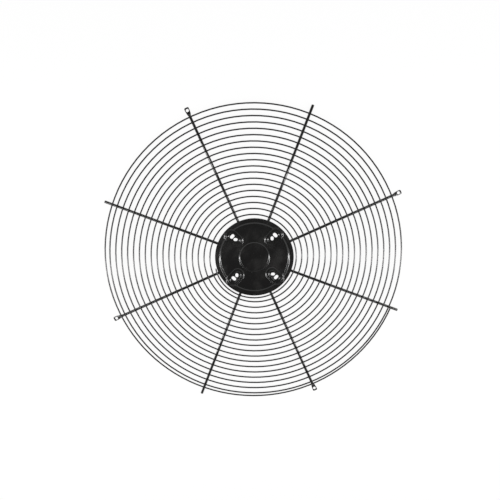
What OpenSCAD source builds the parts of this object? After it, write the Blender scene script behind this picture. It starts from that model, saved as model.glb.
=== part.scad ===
// Flat wire guard for an axial fan. One continuous coil of thin wire is welded across
// eight radial spokes of thicker wire. A pressed hub plate joins the spokes in the middle
// and carries the fan's motor. Four spokes end in flattened eyes that take the guard's
// screws, and four plain spokes stand between them.
// Z is the fan's axis. The guard lies on its back, with its spokes on Z = 0.

/* [Spokes] */
// Diameter of the spoke wire
spoke_d = 4.5; // [3.5:0.1:5.5]
// How far the plain spokes end outside the circle of screw holes
plain_overrun = 2.7; // [0:0.1:5]
// Chamfer round the cut end of a plain spoke
cut_chamfer = 0.5; // [0.2:0.1:1]

/* [Eyes] */
// Diameter of the circle through the screw holes
bolt_circle_d = 522; // [440:1:560]
// Diameter of each screw hole
screw_hole_d = 5; // [4:0.1:5.6]
// Width of the flattened end at its hole
eye_w = 7.6; // [7.2:0.1:10]
// Width of the flattened end where the round wire runs out
eye_root_w = 6.4; // [5.8:0.1:7]
// Thickness of the flattened end
eye_t = 2.2; // [1.6:0.1:3]
// Flat length from the hole's centre inwards
eye_inner_l = 5.6; // [5:0.1:8]
// Flat length from the hole's centre to the tip
eye_outer_l = 4.8; // [4:0.1:6]
// Corner chamfer at the tip
eye_chamfer = 1.3; // [0.6:0.1:2]
// Length over which the round wire turns flat
eye_blend_l = 4.2; // [3:0.1:6]

/* [Coil] */
// Diameter of the coil wire
coil_wire_d = 2.4; // [1.8:0.1:3]
// Gap between the plate's rim and the wire of the first, level turn
hub_gap = 3; // [2.6:0.1:8]
// Distance from one turn to the next
coil_pitch = 9.84; // [8.6:0.02:12]
// Angle at which the first turn stops being level and starts to grow
coil_leave_angle = 324.5; // [300:0.5:335]
// How much tighter than that turn the bend is that tucks the inner end in
tuck_shift = 8.7; // [5:0.1:9.5]
// Angle of that bend
tuck_sweep = 45; // [36:0.5:46]
// How far the outer end passes the middle of the spoke that holds it
coil_overrun = 1; // [0.5:0.1:3]

/* [Hub plate] */
// Thickness of the sheet
sheet_t = 2; // [1.5:0.1:2.4]
// Width of the rim that is left outside the seats
rim_w = 3.5; // [3:0.1:8]
// Width of the flange, to the middle of its bend
flange_w = 7.7; // [7:0.1:8.6]
// Depth of the dish below the flange
dish_drop = 2.4; // [2:0.1:2.8]
// Radius of that bend, to the middle of the sheet
dish_bend_r = 2.5; // [2.2:0.1:3]
// Width of the level ring between the pressed centre and the seats
centre_gap = 5.5; // [4.8:0.1:12]
// Depth of the centre below the dish
centre_drop = 1.4; // [0.8:0.1:1.8]
// Radius of the smaller bends, to the middle of the sheet
press_r = 2; // [1.8:0.1:2.4]

/* [Motor seats] */
// Diameter of the circle through the middles of the four seats
seat_circle_d = 93.2; // [84:0.2:110]
// Width of a seat, at the middle of its bend
seat_w = 20.8; // [18:0.2:22]
// Depth of a seat below the dish
seat_drop = 1.1; // [0.8:0.1:1.3]
// Width of the well in a seat, at the middle of its bend
well_w = 10.8; // [10:0.2:12]
// Straight length between the round ends of seat and well
seat_straight = 11; // [9:0.5:12]

/* [Motor slots] */
// How far the outer slots lie outside the seats' middles
outer_slot_shift = 4.4; // [3.6:0.1:5]
// Length of an outer slot, round the plate
outer_slot_l = 8.6; // [6:0.1:9]
// Width of an outer slot
outer_slot_w = 5.6; // [4:0.1:6]
// How far the inner slots lie inside the seats' middles
inner_slot_shift = 3.2; // [2.8:0.1:3.6]
// Length of an inner slot
inner_slot_l = 7; // [5.5:0.1:7.4]
// Width of an inner slot
inner_slot_w = 5.2; // [4:0.1:5.4]

/* [Hidden] */

wire_fn = 36;      // sides of a round wire in the preview
coil_fn = 96;      // steps of a full turn of the coil in the preview
hub_fn = 180;      // steps of the hub plate's revolve in the preview
plate_steps = 6;   // flats along each half of a pressed ring's step
seat_steps = 2;    // flats along each half of a seat's step
seat_wall_angle = 60;
seat_bend_r = 1;
slice = 0.02;      // thin slice that a blend starts and ends with
cut_over = 1;      // how far a cutter passes the faces that it cuts
paint = [0.07, 0.07, 0.075];

// The spokes stand every 45 degrees, eyes and plain ends in turn. The motor seats lie
// midway between two spokes.
spoke_step = 45;
quarter = 90;
first_eye_angle = 22.5;
first_plain_angle = first_eye_angle + spoke_step;
first_seat_angle = 45;
function eye_angle(i) = first_eye_angle + (i - 1) * quarter;
function plain_angle(i) = first_plain_angle + (i - 1) * quarter;

// Levels, from the back. The spokes lie on Z = 0, and the plate's flange and the coil lie
// on the front of the spokes. The dish, the seats and their wells step back towards Z = 0,
// so that the wells' backs are level with the backs of the spokes.
spoke_z = spoke_d / 2;
coil_z = spoke_d + coil_wire_d / 2;
flange_z = spoke_d + sheet_t;
dish_z = flange_z - dish_drop;
centre_z = dish_z - centre_drop;
seat_z = dish_z - seat_drop;
well_z = sheet_t;
well_drop = seat_z - well_z;

// The plate's size follows from its seats, and the coil's inner turn from the plate.
hub_d = seat_circle_d + seat_straight + seat_w + 2 * rim_w;
hub_r = hub_d / 2;
dish_d = hub_d - 2 * flange_w;
centre_d = seat_circle_d - seat_straight - seat_w - 2 * centre_gap;
outer_slot_r = seat_circle_d / 2 + outer_slot_shift;
inner_slot_r = seat_circle_d / 2 - inner_slot_shift;
coil_inner_r = hub_r + hub_gap + coil_wire_d / 2;
tuck_r = coil_inner_r - tuck_shift;
bolt_circle_r = bolt_circle_d / 2;
eye_flat_r = bolt_circle_r - eye_inner_l;
eye_blend_r = eye_flat_r - eye_blend_l;
eye_tip_r = bolt_circle_r + eye_outer_l;
plain_tip_r = bolt_circle_r + plain_overrun;

// A pressed step: two equal arcs, each turned through the same angle, join two levels.
function step_angle(drop, r) = acos(1 - drop / (2 * r));
function step_half_w(drop, r) = r * sin(step_angle(drop, r));

// Outline of one face of a pressed step, from its low side at x - half width to its high
// side at x + half width. side is 1 on the front face of the sheet and -1 on its back.
function step_points(x, z_low, drop, r, side, steps) =
    let (
        a = step_angle(drop, r),
        half_w = step_half_w(drop, r),
        low_r = r - side * sheet_t / 2,
        high_r = r + side * sheet_t / 2
    )
    concat(
        [for (i = [0 : steps]) let (b = a * i / steps)
            [x - half_w + low_r * sin(b), z_low + low_r * (1 - cos(b))]],
        [for (i = [steps - 1 : -1 : 0]) let (b = a * i / steps)
            [x + half_w - high_r * sin(b), z_low + drop - high_r * (1 - cos(b))]]
    );

// The spokes start just outside the bend of the dish.
spoke_gap = 0.4;
spoke_inner_r = dish_d / 2 + step_half_w(dish_drop, dish_bend_r) + spoke_gap;

// Front or back face of the plate from the axis to the start of the flange.
function plate_points(side) =
    let (z = side > 0 ? 0 : -sheet_t)
    concat(
        [[0, centre_z + z]],
        step_points(centre_d / 2, centre_z + z, centre_drop, press_r, side, plate_steps),
        step_points(dish_d / 2, dish_z + z, dish_drop, dish_bend_r, side, plate_steps)
    );

// Front or back face of a seat, from the middle of its well across the seat and up its
// straight wall to the level top. The wall meets the front of the dish at the seat's edge.
function seat_wall_x(z, side) = seat_w / 2 - (dish_z - z) / tan(seat_wall_angle)
    + (side > 0 ? 0 : sheet_t / sin(seat_wall_angle));
seat_bend_x = seat_wall_x(seat_z, 1) - seat_bend_r * tan(seat_wall_angle / 2);
function seat_points(side, top) =
    let (
        z = side > 0 ? 0 : -sheet_t,
        r = seat_bend_r - z
    )
    concat(
        [[0, well_z + z]],
        step_points(well_w / 2, well_z + z, well_drop, press_r, side, seat_steps),
        [for (i = [0 : seat_steps]) let (b = seat_wall_angle * i / seat_steps)
            [seat_bend_x + r * sin(b), seat_z + seat_bend_r - r * cos(b)]],
        [[seat_wall_x(top, side), top], [0, top]]
    );

// The coil is a chain of arcs that each start where the last one ended, in line with it.
// It runs level, grows by a quarter of the pitch at every quarter turn, and runs level
// again. The first two and last two steps of growth are halved, which brings the arcs'
// centres from the axis to the corners of a small square and back to the axis. Angles and
// centres are in the coil's own frame, whose +X axis is where the coil starts to grow.
coil_limit_r = eye_blend_r - coil_wire_d / 2;
growing_quarters = floor(4 * (coil_limit_r - coil_inner_r) / coil_pitch);
last_arc = growing_quarters + 2;
function growth(k) = coil_pitch / (k <= 2 || k > last_arc - 2 ? 8 : 4);
function arc_angle(k) = ((k - 1) % 4) * quarter;
function arc_radius(k) = k == 0 ? coil_inner_r : arc_radius(k - 1) + growth(k);
function arc_centre(k) = k == 0 ? [0, 0]
    : arc_centre(k - 1) - growth(k) * [cos(arc_angle(k)), sin(arc_angle(k))];

// The inner end is tucked in, a quarter turn before the growth starts, and reaches past the
// third eye's spoke. The outer end lies on the fourth plain spoke.
coil_outer_r = arc_radius(last_arc);
coil_end_angle = plain_angle(4) + coil_overrun / coil_outer_r * 180 / PI;
outer_level_sweep = (coil_end_angle - coil_leave_angle - arc_angle(last_arc) + 720) % 360;

// An arc of wire whose start is on the ray at the angle start from the arc's centre.
module arc_wire(centre, r, start, sweep) {
    translate([centre[0], centre[1], coil_z])
        rotate([0, 0, start])
            rotate_extrude(angle = sweep, $fn = coil_fn)
                translate([r, 0])
                    circle(d = coil_wire_d, $fn = wire_fn);
}

module spiral_wire() color(paint) rotate([0, 0, coil_leave_angle]) {
    arc_wire([0, tuck_r - coil_inner_r], tuck_r, -quarter, -tuck_sweep);
    arc_wire([0, 0], coil_inner_r, -quarter, quarter);
    for (k = [1 : last_arc - 1])
        arc_wire(arc_centre(k), arc_radius(k), arc_angle(k), quarter);
    arc_wire([0, 0], coil_outer_r, arc_angle(last_arc), outer_level_sweep);
}

module round_wire(from_r, to_r) {
    translate([from_r, 0, spoke_z])
        rotate([0, 90, 0])
            cylinder(d = spoke_d, h = to_r - from_r, $fn = wire_fn);
}

module eye_outline() {
    polygon([
        [eye_flat_r, -eye_root_w / 2],
        [bolt_circle_r, -eye_w / 2],
        [eye_tip_r - eye_chamfer, -eye_w / 2],
        [eye_tip_r, -eye_w / 2 + eye_chamfer],
        [eye_tip_r, eye_w / 2 - eye_chamfer],
        [eye_tip_r - eye_chamfer, eye_w / 2],
        [bolt_circle_r, eye_w / 2],
        [eye_flat_r, eye_root_w / 2],
    ]);
}

// Round wire pressed flat on its back: the section widens as it thins.
module eye_blend() {
    hull() {
        round_wire(eye_blend_r, eye_blend_r + slice);
        translate([eye_flat_r, -eye_root_w / 2, 0])
            cube([slice, eye_root_w, eye_t]);
    }
}

module eyelet_spoke(i) color(paint) rotate([0, 0, eye_angle(i)]) difference() {
    union() {
        round_wire(spoke_inner_r, eye_blend_r);
        eye_blend();
        linear_extrude(eye_t) eye_outline();
    }
    translate([bolt_circle_r, 0, -cut_over])
        cylinder(d = screw_hole_d, h = eye_t + 2 * cut_over, $fn = wire_fn);
}

module plain_spoke(i) color(paint) rotate([0, 0, plain_angle(i)]) {
    round_wire(spoke_inner_r, plain_tip_r - cut_chamfer);
    translate([plain_tip_r - cut_chamfer, 0, spoke_z])
        rotate([0, 90, 0])
            cylinder(d1 = spoke_d, d2 = spoke_d - 2 * cut_chamfer, h = cut_chamfer, $fn = wire_fn);
}

// Runs a half section along a line with round ends, as a press tool's outline does.
module along_seat() translate([seat_circle_d / 2, 0, 0]) {
    for (end = [0, 1])
        rotate([0, 0, end * 180])
            translate([seat_straight / 2, 0, 0])
                rotate([0, 0, -90])
                    rotate_extrude(angle = 180, $fn = hub_fn / 3)
                        children();
    translate([-seat_straight / 2, 0, 0])
        rotate([90, 0, 90])
            linear_extrude(seat_straight) {
                children();
                mirror([1, 0]) children();
            }
}

module at_seats() {
    for (i = [0 : 3])
        rotate([0, 0, first_seat_angle + i * quarter]) children();
}

module slot(length, width) {
    translate([0, 0, -cut_over])
        linear_extrude(sheet_t + 2 * cut_over) {
            square([length - width, width], center = true);
            for (side = [-1, 1])
                translate([side * (length - width) / 2, 0])
                    circle(d = width, $fn = wire_fn);
        }
}

// Each seat has a slot across its radius and a shorter one at 45 degrees to it. The short
// ones lie along X in two opposite seats and along Y in the others.
module motor_slots() {
    translate([outer_slot_r, 0, 0])
        rotate([0, 0, 90]) slot(outer_slot_l, outer_slot_w);
    translate([inner_slot_r, 0, 0])
        rotate([0, 0, 45]) slot(inner_slot_l, inner_slot_w);
}

// The space behind the plate, with room left for the sheet round the seats.
module back_space() difference() {
    rotate_extrude($fn = hub_fn)
        polygon(concat(
            plate_points(-1),
            [
                [hub_r + cut_over, flange_z - sheet_t],
                [hub_r + cut_over, -2 * cut_over],
                [0, -2 * cut_over]
            ]
        ));
    at_seats() along_seat() polygon(seat_points(-1, flange_z));
}

module hub_plate() color(paint) difference() {
    rotate_extrude($fn = hub_fn)
        polygon(concat(
            plate_points(1),
            [[hub_r, flange_z], [hub_r, -cut_over], [0, -cut_over]]
        ));
    back_space();
    at_seats() along_seat() polygon(seat_points(1, flange_z + cut_over));
    at_seats() motor_slots();
}

hub_plate();
spiral_wire();
eyelet_spoke(1);  // eyelet_spoke_1
eyelet_spoke(2);  // eyelet_spoke_2
eyelet_spoke(3);  // eyelet_spoke_3
eyelet_spoke(4);  // eyelet_spoke_4
plain_spoke(1);  // plain_spoke_1
plain_spoke(2);  // plain_spoke_2
plain_spoke(3);  // plain_spoke_3
plain_spoke(4);  // plain_spoke_4
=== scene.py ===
"""Wire fan guard: models a round guard with its hub plate, coil, spokes, welds and paint."""

import math

import bpy
from bpy.props import FloatProperty, FloatVectorProperty, PointerProperty
from bpy.types import Operator, Panel, PropertyGroup
from mathutils import Matrix, Vector


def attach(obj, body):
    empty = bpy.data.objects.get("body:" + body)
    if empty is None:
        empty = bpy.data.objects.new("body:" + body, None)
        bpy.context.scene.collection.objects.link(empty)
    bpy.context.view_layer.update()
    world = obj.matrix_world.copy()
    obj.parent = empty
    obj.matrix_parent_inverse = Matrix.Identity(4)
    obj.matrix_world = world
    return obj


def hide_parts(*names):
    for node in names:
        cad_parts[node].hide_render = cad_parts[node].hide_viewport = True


bl_info = {
    "name": "Wire fan guard",
    "version": (1, 0, 0),
    "blender": (4, 5, 0),
    "location": "3D View > Sidebar > Fan guard",
    "description": "Models a round wire fan guard with a pressed hub plate, and its stage",
    "category": "Add Mesh",
}

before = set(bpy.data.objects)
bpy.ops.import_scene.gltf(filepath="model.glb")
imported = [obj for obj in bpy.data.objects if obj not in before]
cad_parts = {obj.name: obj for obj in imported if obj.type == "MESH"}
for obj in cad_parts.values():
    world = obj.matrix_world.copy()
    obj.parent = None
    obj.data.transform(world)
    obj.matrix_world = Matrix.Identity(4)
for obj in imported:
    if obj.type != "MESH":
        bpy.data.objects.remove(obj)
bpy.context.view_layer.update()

MM = 0.001
QUARTER = math.pi / 2
TOUCH = 1e-6  # points nearer than this are one point

# The spokes stand every 45 degrees, eyes and plain ends in turn.
SPOKE_STEP = math.radians(45)
FIRST_EYE = math.radians(22.5)
FIRST_PLAIN = FIRST_EYE + SPOKE_STEP
LAST_PLAIN = FIRST_PLAIN + 3 * QUARTER
FIRST_SEAT = math.radians(45)

# How finely the pieces are made.
COIL_SIDES = 16
PLAIN_SIDES = 24
EYED_SIDES = 32
SLOT_SIDES = 48
PLATE_RINGS = 90
PLATE_STEPS = 360
SPIN_WAY = -1  # spin turns the other way when there is no window


# ---------------------------------------------------------------- sizes and colours


class CoilSizes(PropertyGroup):
    wire_d: FloatProperty(
        name="Wire", description="Diameter of the coil's wire", default=2.4 * MM, unit="LENGTH"
    )
    inner_r: FloatProperty(
        name="Inner radius",
        description="Radius of the first level turn",
        default=70.2 * MM,
        unit="LENGTH",
    )
    pitch: FloatProperty(
        name="Pitch",
        description="Growth of the radius in one turn",
        default=9.84 * MM,
        unit="LENGTH",
    )
    limit_r: FloatProperty(
        name="Limit",
        description="Radius that the last turn stays inside",
        default=250.0 * MM,
        unit="LENGTH",
    )
    leave_angle: FloatProperty(
        name="Leaving angle",
        description="Where the coil starts to grow",
        default=math.radians(324.5),
        subtype="ANGLE",
    )
    tuck_r: FloatProperty(
        name="Tuck radius",
        description="Bend radius of the inner end",
        default=61.5 * MM,
        unit="LENGTH",
    )
    tuck_sweep: FloatProperty(
        name="Tuck sweep",
        description="Length of that bend",
        default=math.radians(45),
        subtype="ANGLE",
    )
    overrun: FloatProperty(
        name="Overrun",
        description="How far the outer end passes its spoke",
        default=1 * MM,
        unit="LENGTH",
    )


class SpokeSizes(PropertyGroup):
    wire_d: FloatProperty(
        name="Wire", description="Diameter of the spokes' wire", default=4.5 * MM, unit="LENGTH"
    )
    inner_r: FloatProperty(
        name="Inner radius",
        description="Where the spokes start behind the plate",
        default=60.83 * MM,
        unit="LENGTH",
    )
    bolt_circle_r: FloatProperty(
        name="Bolt circle",
        description="Radius of the screw holes' circle",
        default=261 * MM,
        unit="LENGTH",
    )
    hole_d: FloatProperty(
        name="Hole", description="Diameter of a screw hole", default=5 * MM, unit="LENGTH"
    )
    plain_tip_r: FloatProperty(
        name="Plain tip",
        description="Radius that the plain spokes reach",
        default=263.7 * MM,
        unit="LENGTH",
    )
    cut_chamfer: FloatProperty(
        name="Cut edge",
        description="Chamfer round a plain spoke's cut end",
        default=0.5 * MM,
        unit="LENGTH",
    )
    blend_r: FloatProperty(
        name="Blend",
        description="Where the wire starts to flatten",
        default=251.2 * MM,
        unit="LENGTH",
    )
    flat_r: FloatProperty(
        name="Flat",
        description="Where the eye is at its full flatness",
        default=255.4 * MM,
        unit="LENGTH",
    )
    tip_r: FloatProperty(
        name="Eye tip", description="Radius that the eyes reach", default=265.8 * MM, unit="LENGTH"
    )
    eye_w: FloatProperty(
        name="Eye width", description="Width of an eye at its hole", default=7.6 * MM, unit="LENGTH"
    )
    root_w: FloatProperty(
        name="Root width",
        description="Width of an eye at its root",
        default=6.4 * MM,
        unit="LENGTH",
    )
    eye_t: FloatProperty(
        name="Eye thickness",
        description="Thickness of a flattened eye",
        default=2.2 * MM,
        unit="LENGTH",
    )
    chamfer: FloatProperty(
        name="Eye corner",
        description="Size of the corners cut off an eye's tip",
        default=1.3 * MM,
        unit="LENGTH",
    )


class PlateSizes(PropertyGroup):
    radius: FloatProperty(
        name="Radius", description="Outer radius of the plate", default=66 * MM, unit="LENGTH"
    )
    sheet_t: FloatProperty(
        name="Sheet", description="Thickness of the sheet", default=2 * MM, unit="LENGTH"
    )
    back_z: FloatProperty(
        name="Flange back",
        description="Level of the back of the flange",
        default=4.5 * MM,
        unit="LENGTH",
    )
    dish_r: FloatProperty(
        name="Dish radius",
        description="Radius at the middle of the dish's bend",
        default=58.3 * MM,
        unit="LENGTH",
    )
    dish_drop: FloatProperty(
        name="Dish drop",
        description="Depth of the dish below the flange",
        default=2.4 * MM,
        unit="LENGTH",
    )
    dish_bend_r: FloatProperty(
        name="Dish bend", description="Bend radius of the dish", default=2.5 * MM, unit="LENGTH"
    )
    centre_r: FloatProperty(
        name="Centre radius",
        description="Radius of the pressed centre",
        default=25.2 * MM,
        unit="LENGTH",
    )
    centre_drop: FloatProperty(
        name="Centre drop",
        description="Depth of the centre below the dish",
        default=1.4 * MM,
        unit="LENGTH",
    )
    bend_r: FloatProperty(
        name="Small bends",
        description="Bend radius of the centre and the wells",
        default=2 * MM,
        unit="LENGTH",
    )
    seat_circle_r: FloatProperty(
        name="Seat circle",
        description="Radius of the circle of the seats' middles",
        default=46.6 * MM,
        unit="LENGTH",
    )
    seat_straight: FloatProperty(
        name="Seat straight",
        description="Length of a seat between its round ends",
        default=11 * MM,
        unit="LENGTH",
    )
    seat_w: FloatProperty(
        name="Seat width",
        description="Width of a seat at the dish",
        default=20.8 * MM,
        unit="LENGTH",
    )
    seat_drop: FloatProperty(
        name="Seat drop",
        description="Depth of a seat below the dish",
        default=1.1 * MM,
        unit="LENGTH",
    )
    seat_bend_r: FloatProperty(
        name="Seat bend",
        description="Bend radius at the foot of a seat's wall",
        default=1 * MM,
        unit="LENGTH",
    )
    seat_wall: FloatProperty(
        name="Seat wall",
        description="Slope of a seat's wall",
        default=math.radians(60),
        subtype="ANGLE",
    )
    well_w: FloatProperty(
        name="Well width",
        description="Width of the well in a seat",
        default=10.8 * MM,
        unit="LENGTH",
    )
    outer_slot: FloatVectorProperty(
        name="Outer slot",
        description="Radius of its circle, length and width of the slot across the radius",
        size=3,
        default=(51 * MM, 8.6 * MM, 5.6 * MM),
        unit="LENGTH",
    )
    inner_slot: FloatVectorProperty(
        name="Inner slot",
        description="Radius of its circle, length and width of the short slot",
        size=3,
        default=(43.4 * MM, 7 * MM, 5.2 * MM),
        unit="LENGTH",
    )


class PaintLooks(PropertyGroup):
    black: FloatVectorProperty(
        name="Paint",
        description="Colour of the paint",
        subtype="COLOR",
        size=3,
        default=(0.0062, 0.0060, 0.0059),
    )
    worn: FloatVectorProperty(
        name="Haze",
        description="Colour of the paint where it is hazy",
        subtype="COLOR",
        size=3,
        default=(0.013, 0.0125, 0.012),
    )
    roughness: FloatProperty(
        name="Roughness",
        description="Roughness of the clean paint",
        subtype="FACTOR",
        default=0.16,
        min=0,
        max=1,
    )
    peel: FloatProperty(
        name="Orange peel",
        description="Height of the ripple in the paint",
        default=0.02 * MM,
        unit="LENGTH",
    )


class StageSizes(PropertyGroup):
    view_from: FloatVectorProperty(
        name="View from", description="Place of the camera", size=3, subtype="XYZ", unit="LENGTH",
        default=(-7.87 * MM, 138.45 * MM, 732.09 * MM),
    )
    view_turn: FloatVectorProperty(
        name="View turn", description="Turn of the camera", size=3, subtype="EULER",
        default=(math.radians(-9.803), math.radians(-0.381), math.radians(-1.806)),
    )
    lens: FloatProperty(
        name="Lens", description="Focal length in millimetres", default=31.69
    )
    floor_colour: FloatVectorProperty(
        name="Floor",
        description="Colour of the floor",
        subtype="COLOR",
        size=3,
        default=(0.86, 0.86, 0.86),
    )


# ---------------------------------------------------------------- modelling helpers


def fresh():
    """Leaves nothing selected and no piece in edit mode."""
    if bpy.context.object and bpy.context.object.mode != "OBJECT":
        bpy.ops.object.mode_set(mode="OBJECT")
    bpy.ops.object.select_all(action="DESELECT")


def piece(name):
    """Names the primitive that was just added, with its place kept in its mesh."""
    made = bpy.context.object
    made.name = made.data.name = name
    bpy.ops.object.transform_apply(location=True, rotation=True, scale=True)
    return made


def edit():
    bpy.ops.object.mode_set(mode="EDIT")
    bpy.ops.mesh.select_all(action="SELECT")


def done():
    bpy.ops.object.mode_set(mode="OBJECT")


def pick(made, wanted):
    """Goes into edit mode with only the points that pass a test selected."""
    bpy.context.tool_settings.mesh_select_mode = (True, False, False)
    edit()
    bpy.ops.mesh.select_all(action="DESELECT")
    done()
    for vert in made.data.vertices:
        vert.select = wanted(vert.co)
    bpy.ops.object.mode_set(mode="EDIT")


def clean(made):
    """Merges doubles and turns all faces outwards."""
    fresh()
    made.select_set(True)
    bpy.context.view_layer.objects.active = made
    edit()
    bpy.ops.mesh.remove_doubles(threshold=TOUCH)
    bpy.ops.mesh.normals_make_consistent(inside=False)
    done()


def smooth(made, angle=40):
    fresh()
    made.select_set(True)
    bpy.context.view_layer.objects.active = made
    bpy.ops.object.shade_smooth_by_angle(angle=math.radians(angle))


def apply_modifier(made, kind, **settings):
    fresh()
    made.select_set(True)
    bpy.context.view_layer.objects.active = made
    added = made.modifiers.new(kind.title(), kind)
    for key, value in settings.items():
        setattr(added, key, value)
    bpy.ops.object.modifier_apply(modifier=added.name)


def copy_turned(made, name, angle):
    """A copy with its own mesh, turned about the guard's axis."""
    other = made.copy()
    other.data = made.data.copy()
    other.name = other.data.name = name
    bpy.context.collection.objects.link(other)
    other.data.transform(Matrix.Rotation(angle, 4, "Z"))
    return other


def join(pieces, name):
    fresh()
    for one in pieces:
        one.select_set(True)
    bpy.context.view_layer.objects.active = pieces[0]
    bpy.ops.object.join()
    return piece(name)


def finish_piece(made, material, *nodes):
    """Paints a piece, hands it to the frame, and lets it stand for CAD nodes."""
    made.data.materials.clear()
    made.data.materials.append(material)
    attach(made, "root")
    if nodes:
        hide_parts(*nodes)
    fresh()


# ---------------------------------------------------------------- shader helpers


class Value:
    """A socket that Python's operators work on."""

    def __init__(self, tree, socket):
        self.tree, self.socket = tree, socket

    def _math(self, operation, *others):
        return self.tree.add("ShaderNodeMath", {"operation": operation}, self, *others)

    def __add__(self, other):
        return self._math("ADD", other)

    __radd__ = __add__

    def __mul__(self, other):
        return self._math("MULTIPLY", other)

    __rmul__ = __mul__

    def __sub__(self, other):
        return self._math("SUBTRACT", other)

    def __rsub__(self, other):
        return self.tree.add("ShaderNodeMath", {"operation": "SUBTRACT"}, other, self)

    def max(self, other):
        return self._math("MAXIMUM", other)

    def min(self, other):
        return self._math("MINIMUM", other)

    def between(self, low, high):
        """0 at low, 1 at high, smooth between."""
        return self.tree.add(
            "ShaderNodeMapRange",
            {"interpolation_type": "SMOOTHSTEP"},
            self, low, high, 0.0, 1.0,
        )


class Tree:
    """The nodes of one material or world."""

    def __init__(self, owner):
        owner.use_nodes = True
        self.nodes, self.links = owner.node_tree.nodes, owner.node_tree.links
        self.nodes.clear()

    def add(self, kind, settings=None, *values, out=0, **named):
        """Adds a node: its settings first, then its inputs in order or by name."""
        node = self.nodes.new(kind)
        for key, value in (settings or {}).items():
            setattr(node, key, value)
        pairs = list(zip(range(len(values)), values)) + [
            (key.replace("_", " "), value) for key, value in named.items()
        ]
        for key, value in pairs:
            if value is None:
                continue
            socket = node.inputs[key]
            if isinstance(value, Value):
                self.links.new(value.socket, socket)
            else:
                socket.default_value = value
        return Value(self, node.outputs[out]) if node.outputs else node

    def noise(self, place, scale, detail=2.0, roughness=0.5):
        return self.add(
            "ShaderNodeTexNoise",
            None,
            Vector=place,
            Scale=scale,
            Detail=detail,
            Roughness=roughness,
        )

    def mix_colour(self, factor, first, second):
        inputs = (factor, None, None, None, None, None, first, second)
        return self.add("ShaderNodeMix", {"data_type": "RGBA"}, *inputs, out=2)


def rgba(colour):
    return (*colour, 1.0)


def gloss_paint(name, looks, peel_scale, haze):
    """Black gloss enamel: faint cloudy haze, fine orange peel and a few dust nibs."""
    material = bpy.data.materials.new(name)
    t = Tree(material)
    place = t.add("ShaderNodeTexCoord", None, out=3)
    cloud = t.noise(place, 38.0, 4.0, 0.6).between(0.42, 0.72)
    grain = t.noise(place, 900.0, 2.0, 0.5)
    nibs = t.noise(place, 330.0, 1.0, 0.4).between(0.74, 0.80)
    hazy = (cloud * haze + nibs * 0.35).min(1.0)
    colour = t.mix_colour(hazy, rgba(looks.black), rgba(looks.worn))
    rough = looks.roughness + cloud * 0.10 * haze + grain * 0.03 + nibs * 0.15
    ripple = t.noise(place, peel_scale, 2.0, 0.45)
    height = ripple + t.noise(place, peel_scale * 0.22, 1.0, 0.4) * 1.6 + nibs * 0.8
    bump = t.add(
        "ShaderNodeBump", None, Strength=1.0, Distance=looks.peel, Height=height
    )
    shade = t.add(
        "ShaderNodeBsdfPrincipled",
        None,
        Base_Color=colour,
        Roughness=rough,
        IOR=1.5,
        Coat_Weight=0.35,
        Coat_Roughness=0.06,
        Normal=bump,
    )
    t.add("ShaderNodeOutputMaterial", None, shade)
    return material


# ---------------------------------------------------------------- the coil


def coil_arcs(s):
    """Centre, radius, start angle and sweep of each arc, from the tucked inner end.

    Between two level stretches the coil grows by a quarter of the pitch at each quarter
    turn. The first two and last two steps are halved, so that the centres of the level
    arcs stay on the axis.
    """
    arcs = [
        (Vector((0, s.tuck_r - s.inner_r, 0)), s.tuck_r, -QUARTER - s.tuck_sweep, s.tuck_sweep),
        (Vector((0, 0, 0)), s.inner_r, -QUARTER, QUARTER),
    ]
    last = math.floor(4 * (s.limit_r - s.inner_r) / s.pitch) + 2
    centre, radius = Vector((0, 0, 0)), s.inner_r
    for k in range(1, last):
        angle = (k - 1) % 4 * QUARTER
        step = s.pitch / (8 if k <= 2 or k > last - 2 else 4)
        centre = centre - step * Vector((math.cos(angle), math.sin(angle), 0))
        radius += step
        arcs.append((centre, radius, angle, QUARTER))
    angle = (last - 1) % 4 * QUARTER
    radius += s.pitch / 8
    left = (LAST_PLAIN + s.overrun / radius - s.leave_angle - angle) % math.tau
    while left > 0:
        arcs.append((Vector((0, 0, 0)), radius, angle, min(left, QUARTER)))
        left -= QUARTER
        angle += QUARTER
    return arcs


def coil_crossings(s, directions):
    """Where the middle of the coil's wire crosses each of the directions from the axis."""
    found = []
    for centre, radius, start, sweep in coil_arcs(s):
        for direction in directions:
            turned = direction - s.leave_angle
            ray = Vector((math.cos(turned), math.sin(turned), 0))

            def side(angle):
                point = centre + radius * Vector((math.cos(angle), math.sin(angle), 0))
                return (ray.x * point.y - ray.y * point.x), point

            low, high = start, start + sweep
            (a, p), (b, _) = side(low), side(high)
            if a * b > 0 or (p + side(high)[1]).dot(ray) < 0:
                continue
            for _ in range(30):
                middle = (low + high) / 2
                value, point = side(middle)
                low, high = (middle, high) if a * value > 0 else (low, middle)
            point.rotate(Matrix.Rotation(s.leave_angle, 3, "Z"))
            found.append((point, direction))
    return found


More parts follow.
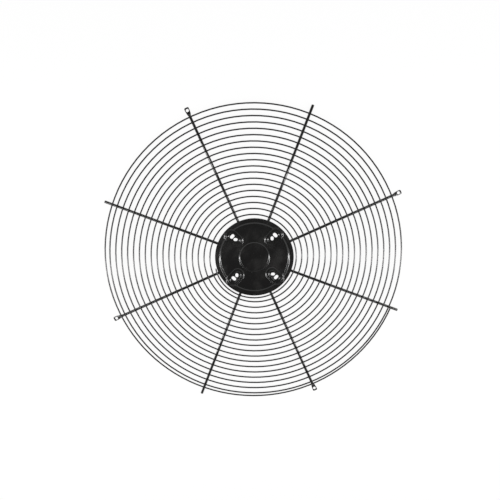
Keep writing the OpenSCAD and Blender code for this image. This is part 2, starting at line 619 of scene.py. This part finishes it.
class FANGUARD_OT_coil(Operator):
    """Winds the coil: a round section is spun through arcs that join in line"""

    bl_idname = "fan_guard.coil"
    bl_label = "Coil"

    def execute(self, context):
        s, spokes = context.scene.fan_guard_coil, context.scene.fan_guard_spokes
        z = spokes.wire_d + s.wire_d / 2
        lengths = []
        for centre, radius, start, sweep in coil_arcs(s):
            fresh()
            bpy.ops.mesh.primitive_circle_add(
                vertices=COIL_SIDES,
                radius=s.wire_d / 2,
                location=centre + Vector((radius * math.cos(start), radius * math.sin(start), z)),
                rotation=(QUARTER, 0, start),
            )
            lengths.append(piece("length"))
            edit()
            steps = max(2, round(sweep / QUARTER * (12 + 60 * radius)))
            bpy.ops.mesh.spin(steps=steps, angle=SPIN_WAY * sweep, center=centre, axis=(0, 0, 1))
            done()
        coil = join(lengths, "coil")
        edit()
        bpy.ops.mesh.remove_doubles(threshold=TOUCH)
        bpy.ops.mesh.select_all(action="DESELECT")
        bpy.ops.mesh.select_non_manifold()
        bpy.ops.mesh.fill_holes(sides=0)
        bpy.ops.mesh.select_all(action="DESELECT")
        bpy.ops.mesh.edges_select_sharp(sharpness=math.radians(60))
        bpy.ops.mesh.bevel(offset=0.15 * s.wire_d, segments=3, affect="EDGES")
        done()
        coil.rotation_euler.z = s.leave_angle
        bpy.ops.object.transform_apply(rotation=True)
        clean(coil)
        smooth(coil, 50)
        finish_piece(coil, bpy.data.materials["wire paint"], "spiral_wire")
        return {"FINISHED"}


# ---------------------------------------------------------------- the spokes


def set_section(made, place, width, thick, middle, fullness):
    """Shapes the selected ring of a wire that runs along X into a squarer section."""
    for vert in made.data.vertices:
        if not vert.select:
            continue
        angle = math.atan2(vert.co.z - middle[0], vert.co.y)
        across, up = math.cos(angle), math.sin(angle)
        vert.co = (
            place,
            math.copysign(abs(across) ** (2 / fullness), across) * width / 2,
            middle[1] + math.copysign(abs(up) ** (2 / fullness), up) * thick / 2,
        )


class FANGUARD_OT_spokes(Operator):
    """Cuts the plain spokes, and flattens and pierces the ends of the others"""

    bl_idname = "fan_guard.spokes"
    bl_label = "Spokes"

    def plain(self, s):
        fresh()
        length = s.plain_tip_r - s.inner_r
        bpy.ops.mesh.primitive_cylinder_add(
            vertices=PLAIN_SIDES,
            radius=s.wire_d / 2,
            depth=length,
            location=(s.inner_r + length / 2, 0, s.wire_d / 2),
            rotation=(0, QUARTER, 0),
        )
        wire = piece("plain_spoke")
        edit()
        bpy.ops.mesh.select_all(action="DESELECT")
        bpy.ops.mesh.edges_select_sharp(sharpness=math.radians(60))
        bpy.ops.mesh.bevel(offset=s.cut_chamfer, segments=3, profile=0.5, affect="EDGES")
        done()
        clean(wire)
        smooth(wire)
        return wire

    def eyed(self, s):
        fresh()
        length = s.blend_r - s.inner_r
        bpy.ops.mesh.primitive_cylinder_add(
            vertices=EYED_SIDES,
            radius=s.wire_d / 2,
            depth=length,
            location=(s.inner_r + length / 2, 0, s.wire_d / 2),
            rotation=(0, QUARTER, 0),
        )
        wire = piece("eyelet_spoke")
        stations = []
        for step in range(1, 9):
            part = step / 8
            ease = part * part * (3 - 2 * part)
            stations.append(
                (
                    s.blend_r + (s.flat_r - s.blend_r) * part,
                    s.wire_d + (s.root_w - s.wire_d) * ease,
                    s.wire_d + (s.eye_t - s.wire_d) * ease,
                    2 + 3.0 * ease,
                )
            )
        corner_r = s.tip_r - s.chamfer
        for part in (0.35, 0.7, 1.0):
            place = s.flat_r + (s.bolt_circle_r - s.flat_r) * part
            stations.append((place, s.root_w + (s.eye_w - s.root_w) * part, s.eye_t, 5.0))
        stations.append(((s.bolt_circle_r + corner_r) / 2, s.eye_w, s.eye_t, 5.0))
        stations.append((corner_r, s.eye_w, s.eye_t, 5.0))
        for part in (0.3, 0.6, 0.85, 1.0):
            cut = 1 - math.sqrt(max(0, 1 - part * part))
            stations.append(
                (
                    corner_r + s.chamfer * part,
                    s.eye_w - 2 * s.chamfer * (0.6 * part + 0.4 * cut),
                    s.eye_t * (1 - 0.16 * cut),
                    5.0,
                )
            )
        for place, width, thick, fullness in stations:
            far = max(vert.co.x for vert in wire.data.vertices)
            ring = [vert.co.z for vert in wire.data.vertices if vert.co.x > far - TOUCH]
            was = (max(ring) + min(ring)) / 2
            pick(wire, lambda co: co.x > far - TOUCH)
            bpy.ops.mesh.extrude_region_move(TRANSFORM_OT_translate={"value": (place - far, 0, 0)})
            done()
            set_section(wire, place, width, thick, (was, thick / 2), fullness)
        clean(wire)
        fresh()
        bpy.ops.mesh.primitive_cylinder_add(
            vertices=EYED_SIDES,
            radius=s.hole_d / 2,
            depth=3 * s.eye_t,
            location=(s.bolt_circle_r, 0, s.eye_t / 2),
        )
        punch = piece("punch")
        apply_modifier(wire, "BOOLEAN", operation="DIFFERENCE", object=punch, solver="EXACT")
        bpy.data.objects.remove(punch)
        fresh()
        wire.select_set(True)
        bpy.context.view_layer.objects.active = wire
        bpy.context.tool_settings.mesh_select_mode = (False, True, False)
        edit()
        bpy.ops.mesh.select_all(action="DESELECT")
        bpy.ops.mesh.edges_select_sharp(sharpness=math.radians(60))
        bpy.ops.mesh.bevel(offset=0.22 * MM, segments=2, affect="EDGES")
        done()
        clean(wire)
        smooth(wire)
        return wire

    def execute(self, context):
        s = context.scene.fan_guard_spokes
        paint = bpy.data.materials["wire paint"]
        kinds = (
            ("eyelet_spoke", self.eyed(s), FIRST_EYE),
            ("plain_spoke", self.plain(s), FIRST_PLAIN),
        )
        for kind, made, first in kinds:
            for i in range(4):
                wire = copy_turned(made, f"{kind}_wire_{i + 1}", first + i * QUARTER)
                finish_piece(wire, paint, f"{kind}_{i + 1}")
            bpy.data.objects.remove(made)
        return {"FINISHED"}


# Half sizes of a weld in millimetres: along the spoke, across it, and up.
CROSSING_WELD = (1.15, 1.35, 0.42)
PLATE_WELD = (1.5, 1.5, 0.4)


class FANGUARD_OT_welds(Operator):
    """Fills the corner under each crossing of the coil and a spoke with a little weld"""

    bl_idname = "fan_guard.welds"
    bl_label = "Welds"

    def execute(self, context):
        s, coil = context.scene.fan_guard_spokes, context.scene.fan_guard_coil
        plate = context.scene.fan_guard_plate
        fresh()
        bpy.ops.mesh.primitive_uv_sphere_add(segments=8, ring_count=6, radius=1)
        bead = piece("bead")
        directions = [FIRST_EYE + SPOKE_STEP * i for i in range(8)]
        spots = [
            (point, angle, CROSSING_WELD) for point, angle in coil_crossings(coil, directions)
        ]
        for angle in directions:
            for radius in (s.inner_r + 1.6 * MM, plate.radius - 1.2 * MM):
                point = radius * Vector((math.cos(angle), math.sin(angle), 0))
                spots.append((point, angle, PLATE_WELD))
        beads = []
        for number, (point, angle, size) in enumerate(spots):
            one = copy_turned(bead, f"bead_{number}", 0)
            grow = 1 + 0.12 * math.sin(number * 2.4)
            one.data.transform(
                Matrix.Translation((point.x, point.y, s.wire_d))
                @ Matrix.Rotation(angle, 4, "Z")
                @ Matrix.Diagonal((*(Vector(size) * MM * grow), 1))
            )
            beads.append(one)
        bpy.data.objects.remove(bead)
        welds = join(beads, "cross_welds")
        smooth(welds, 180)
        finish_piece(welds, bpy.data.materials["wire paint"])
        return {"FINISHED"}


# ---------------------------------------------------------------- the hub plate


def pressed_step(x, drop, r):
    """Height of a pressed step at x from its middle: two equal arcs join two levels."""
    angle = math.acos(1 - drop / (2 * r))
    half = r * math.sin(angle)
    if x <= -half:
        return 0.0
    if x >= half:
        return drop
    if x < 0:
        return r - math.sqrt(r * r - (x + half) ** 2)
    return drop - r + math.sqrt(r * r - (half - x) ** 2)


def soft_min(a, b, width):
    """The smaller of two heights, rounded off where they meet."""
    blend = max(width - abs(a - b), 0) / width
    return min(a, b) - blend * blend * width / 4


class FANGUARD_OT_hub_plate(Operator):
    """Presses the hub plate: dish, centre, four seats with wells, and the motor's slots"""

    bl_idname = "fan_guard.hub_plate"
    bl_label = "Hub plate"

    def height(self, p, x, y):
        """Level of the middle of the sheet at a point."""
        radius = math.hypot(x, y)
        flange = p.back_z + p.sheet_t / 2
        dish = flange - p.dish_drop
        level = dish - p.centre_drop + pressed_step(radius - p.centre_r, p.centre_drop, p.bend_r)
        level += pressed_step(radius - p.dish_r, p.dish_drop, p.dish_bend_r)
        across = (abs(x) - abs(y)) / math.sqrt(2)
        along = (abs(x) + abs(y)) / math.sqrt(2) - p.seat_circle_r
        reach = math.hypot(max(abs(along) - p.seat_straight / 2, 0), across)
        seat = dish - p.seat_drop
        well = p.sheet_t / 2
        floor = well + pressed_step(reach - p.well_w / 2, seat - well, p.bend_r)
        bend_r = p.seat_bend_r + p.sheet_t / 2
        foot = p.seat_w / 2 - p.seat_drop / math.tan(p.seat_wall)
        foot -= p.seat_bend_r * math.tan(p.seat_wall / 2)
        past = reach - foot
        turn = bend_r * math.sin(p.seat_wall)
        if past > turn:
            wall = bend_r * (1 - math.cos(p.seat_wall)) + (past - turn) * math.tan(p.seat_wall)
        elif past > 0:
            wall = bend_r - math.sqrt(bend_r * bend_r - past * past)
        else:
            wall = 0.0
        return soft_min(level, floor + wall, 0.8 * MM)

    def execute(self, context):
        p = context.scene.fan_guard_plate
        fresh()
        bpy.ops.mesh.primitive_grid_add(x_subdivisions=PLATE_RINGS, y_subdivisions=1, size=p.radius)
        plate = piece("pressed_plate")
        pick(plate, lambda co: co.y > 0)
        bpy.ops.mesh.delete(type="VERT")
        done()
        for vert in plate.data.vertices:
            vert.co = (vert.co.x + p.radius / 2, 0, 0)
        apply_modifier(
            plate,
            "SCREW",
            angle=math.tau,
            steps=PLATE_STEPS,
            render_steps=PLATE_STEPS,
            use_merge_vertices=True,
            merge_threshold=TOUCH,
        )
        for vert in plate.data.vertices:
            vert.co.z = self.height(p, vert.co.x, vert.co.y)
        clean(plate)
        apply_modifier(plate, "SOLIDIFY", thickness=p.sheet_t, offset=0, use_even_offset=True)
        cutters = []
        for i in range(4):
            for sizes, turn in ((p.outer_slot, QUARTER), (p.inner_slot, QUARTER / 2)):
                cutters.append(self.slot(*sizes, turn, FIRST_SEAT + i * QUARTER))
        punch = join(cutters, "slot_punches")
        apply_modifier(plate, "BOOLEAN", operation="DIFFERENCE", object=punch, solver="MANIFOLD")
        bpy.data.objects.remove(punch)
        clean(plate)
        smooth(plate, 35)
        finish_piece(plate, bpy.data.materials["plate paint"], "hub_plate")
        return {"FINISHED"}

    def slot(self, circle, length, width, turn, angle):
        """A punch for one slot, with round ends."""
        fresh()
        bpy.ops.mesh.primitive_cylinder_add(
            vertices=SLOT_SIDES, radius=width / 2, depth=20 * MM, location=(0, 0, 0)
        )
        punch = piece("slot_punch")
        for vert in punch.data.vertices:
            vert.co.x += math.copysign((length - width) / 2, vert.co.x)
        punch.data.transform(
            Matrix.Rotation(angle, 4, "Z")
            @ Matrix.Translation((circle, 0, 0))
            @ Matrix.Rotation(turn, 4, "Z")
        )
        return punch


# ---------------------------------------------------------------- paint and stage


class FANGUARD_OT_paint(Operator):
    """Mixes the paints that the pieces are finished in"""

    bl_idname = "fan_guard.paint"
    bl_label = "Paint"

    def execute(self, context):
        looks = context.scene.fan_guard_paint
        gloss_paint("wire paint", looks, 520.0, 0.5)
        gloss_paint("plate paint", looks, 420.0, 0.8)
        return {"FINISHED"}


def panel_light(name, place, size, power, toward=(0, 0, 0)):
    """A soft rectangular lamp that faces a point."""
    data = bpy.data.lights.new(name, "AREA")
    data.shape = "RECTANGLE"
    data.size, data.size_y = size
    data.energy = power
    lamp = bpy.data.objects.new(name, data)
    bpy.context.collection.objects.link(lamp)
    lamp.location = place
    lamp.rotation_euler = (Vector(toward) - Vector(place)).to_track_quat("-Z", "Y").to_euler()
    lamp.visible_camera = False
    return lamp


class FANGUARD_OT_stage(Operator):
    """Sets up the floor, the lamps, the surroundings and the camera"""

    bl_idname = "fan_guard.stage"
    bl_label = "Stage"

    def execute(self, context):
        s = context.scene.fan_guard_stage
        scene = context.scene
        fresh()
        bpy.ops.mesh.primitive_plane_add(size=12, location=(0, 0, -0.1 * MM))
        floor = piece("floor")
        material = bpy.data.materials.new("floor")
        t = Tree(material)
        ray = t.add("ShaderNodeLightPath")
        seen = ray.max(Value(t, ray.socket.node.outputs["Is Glossy Ray"])).max(
            Value(t, ray.socket.node.outputs["Is Transmission Ray"])
        )
        matt = t.add("ShaderNodeBsdfDiffuse", None, Color=rgba(s.floor_colour))
        glow = t.add("ShaderNodeEmission", None, Color=(1, 1, 1, 1), Strength=1.0)
        mixed = t.add("ShaderNodeMixShader", None, seen * 0.9, matt, glow)
        t.add("ShaderNodeOutputMaterial", None, mixed)
        floor.data.materials.append(material)

        world = bpy.data.worlds.new("studio")
        scene.world = world
        t = Tree(world)
        ray = t.add("ShaderNodeLightPath")
        glossy = Value(t, ray.socket.node.outputs["Is Glossy Ray"])
        way = t.add("ShaderNodeTexCoord", None)
        height = t.add("ShaderNodeSeparateXYZ", None, way, out=2)
        ceiling = 0.75 - height.between(0.2, 0.85) * 0.70
        strength = ray + (1 - ray) * (glossy * ceiling + (1 - glossy) * 0.6)
        sky = t.add("ShaderNodeBackground", None, (1, 1, 1, 1), strength)
        t.add("ShaderNodeOutputWorld", None, sky)

        panel_light("left strip", (-0.8, -0.16, 0.5), (0.12, 1.7), 9)
        panel_light("right strip", (0.8, -0.16, 0.5), (0.12, 1.7), 9)

        camera = bpy.data.objects.new("camera", bpy.data.cameras.new("camera"))
        context.collection.objects.link(camera)
        camera.location = s.view_from
        camera.rotation_euler = s.view_turn
        camera.data.sensor_width = 36
        camera.data.lens = s.lens
        camera.data.clip_start = 0.01
        scene.camera = camera
        scene.view_settings.view_transform = "Standard"
        return {"FINISHED"}


class FANGUARD_PT_panel(Panel):
    """Lists the pieces in the sidebar"""

    bl_idname = "FANGUARD_PT_panel"
    bl_label = "Fan guard"
    bl_space_type = "VIEW_3D"
    bl_region_type = "UI"
    bl_category = "Fan guard"

    def draw(self, context):
        for group, _, title, operators in GROUPS:
            box = self.layout.box()
            box.label(text=title)
            settings = getattr(context.scene, group)
            for key in settings.__annotations__:
                box.prop(settings, key)
            for operator in operators:
                box.operator(operator.bl_idname)


GROUPS = (
    ("fan_guard_paint", PaintLooks, "Paint", (FANGUARD_OT_paint,)),
    ("fan_guard_coil", CoilSizes, "Coil", (FANGUARD_OT_coil,)),
    ("fan_guard_spokes", SpokeSizes, "Spokes", (FANGUARD_OT_spokes, FANGUARD_OT_welds)),
    ("fan_guard_plate", PlateSizes, "Hub plate", (FANGUARD_OT_hub_plate,)),
    ("fan_guard_stage", StageSizes, "Stage", (FANGUARD_OT_stage,)),
)


def register():
    for name, group, _, operators in GROUPS:
        bpy.utils.register_class(group)
        for operator in operators:
            bpy.utils.register_class(operator)
        setattr(bpy.types.Scene, name, PointerProperty(type=group))
    bpy.utils.register_class(FANGUARD_PT_panel)


def unregister():
    bpy.utils.unregister_class(FANGUARD_PT_panel)
    for name, group, _, operators in reversed(GROUPS):
        delattr(bpy.types.Scene, name)
        for operator in operators:
            bpy.utils.unregister_class(operator)
        bpy.utils.unregister_class(group)


def main():
    register()
    bpy.ops.fan_guard.paint()
    bpy.ops.fan_guard.coil()
    bpy.ops.fan_guard.spokes()
    bpy.ops.fan_guard.welds()
    bpy.ops.fan_guard.hub_plate()
    bpy.ops.fan_guard.stage()


if __name__ == "__main__":
    main()
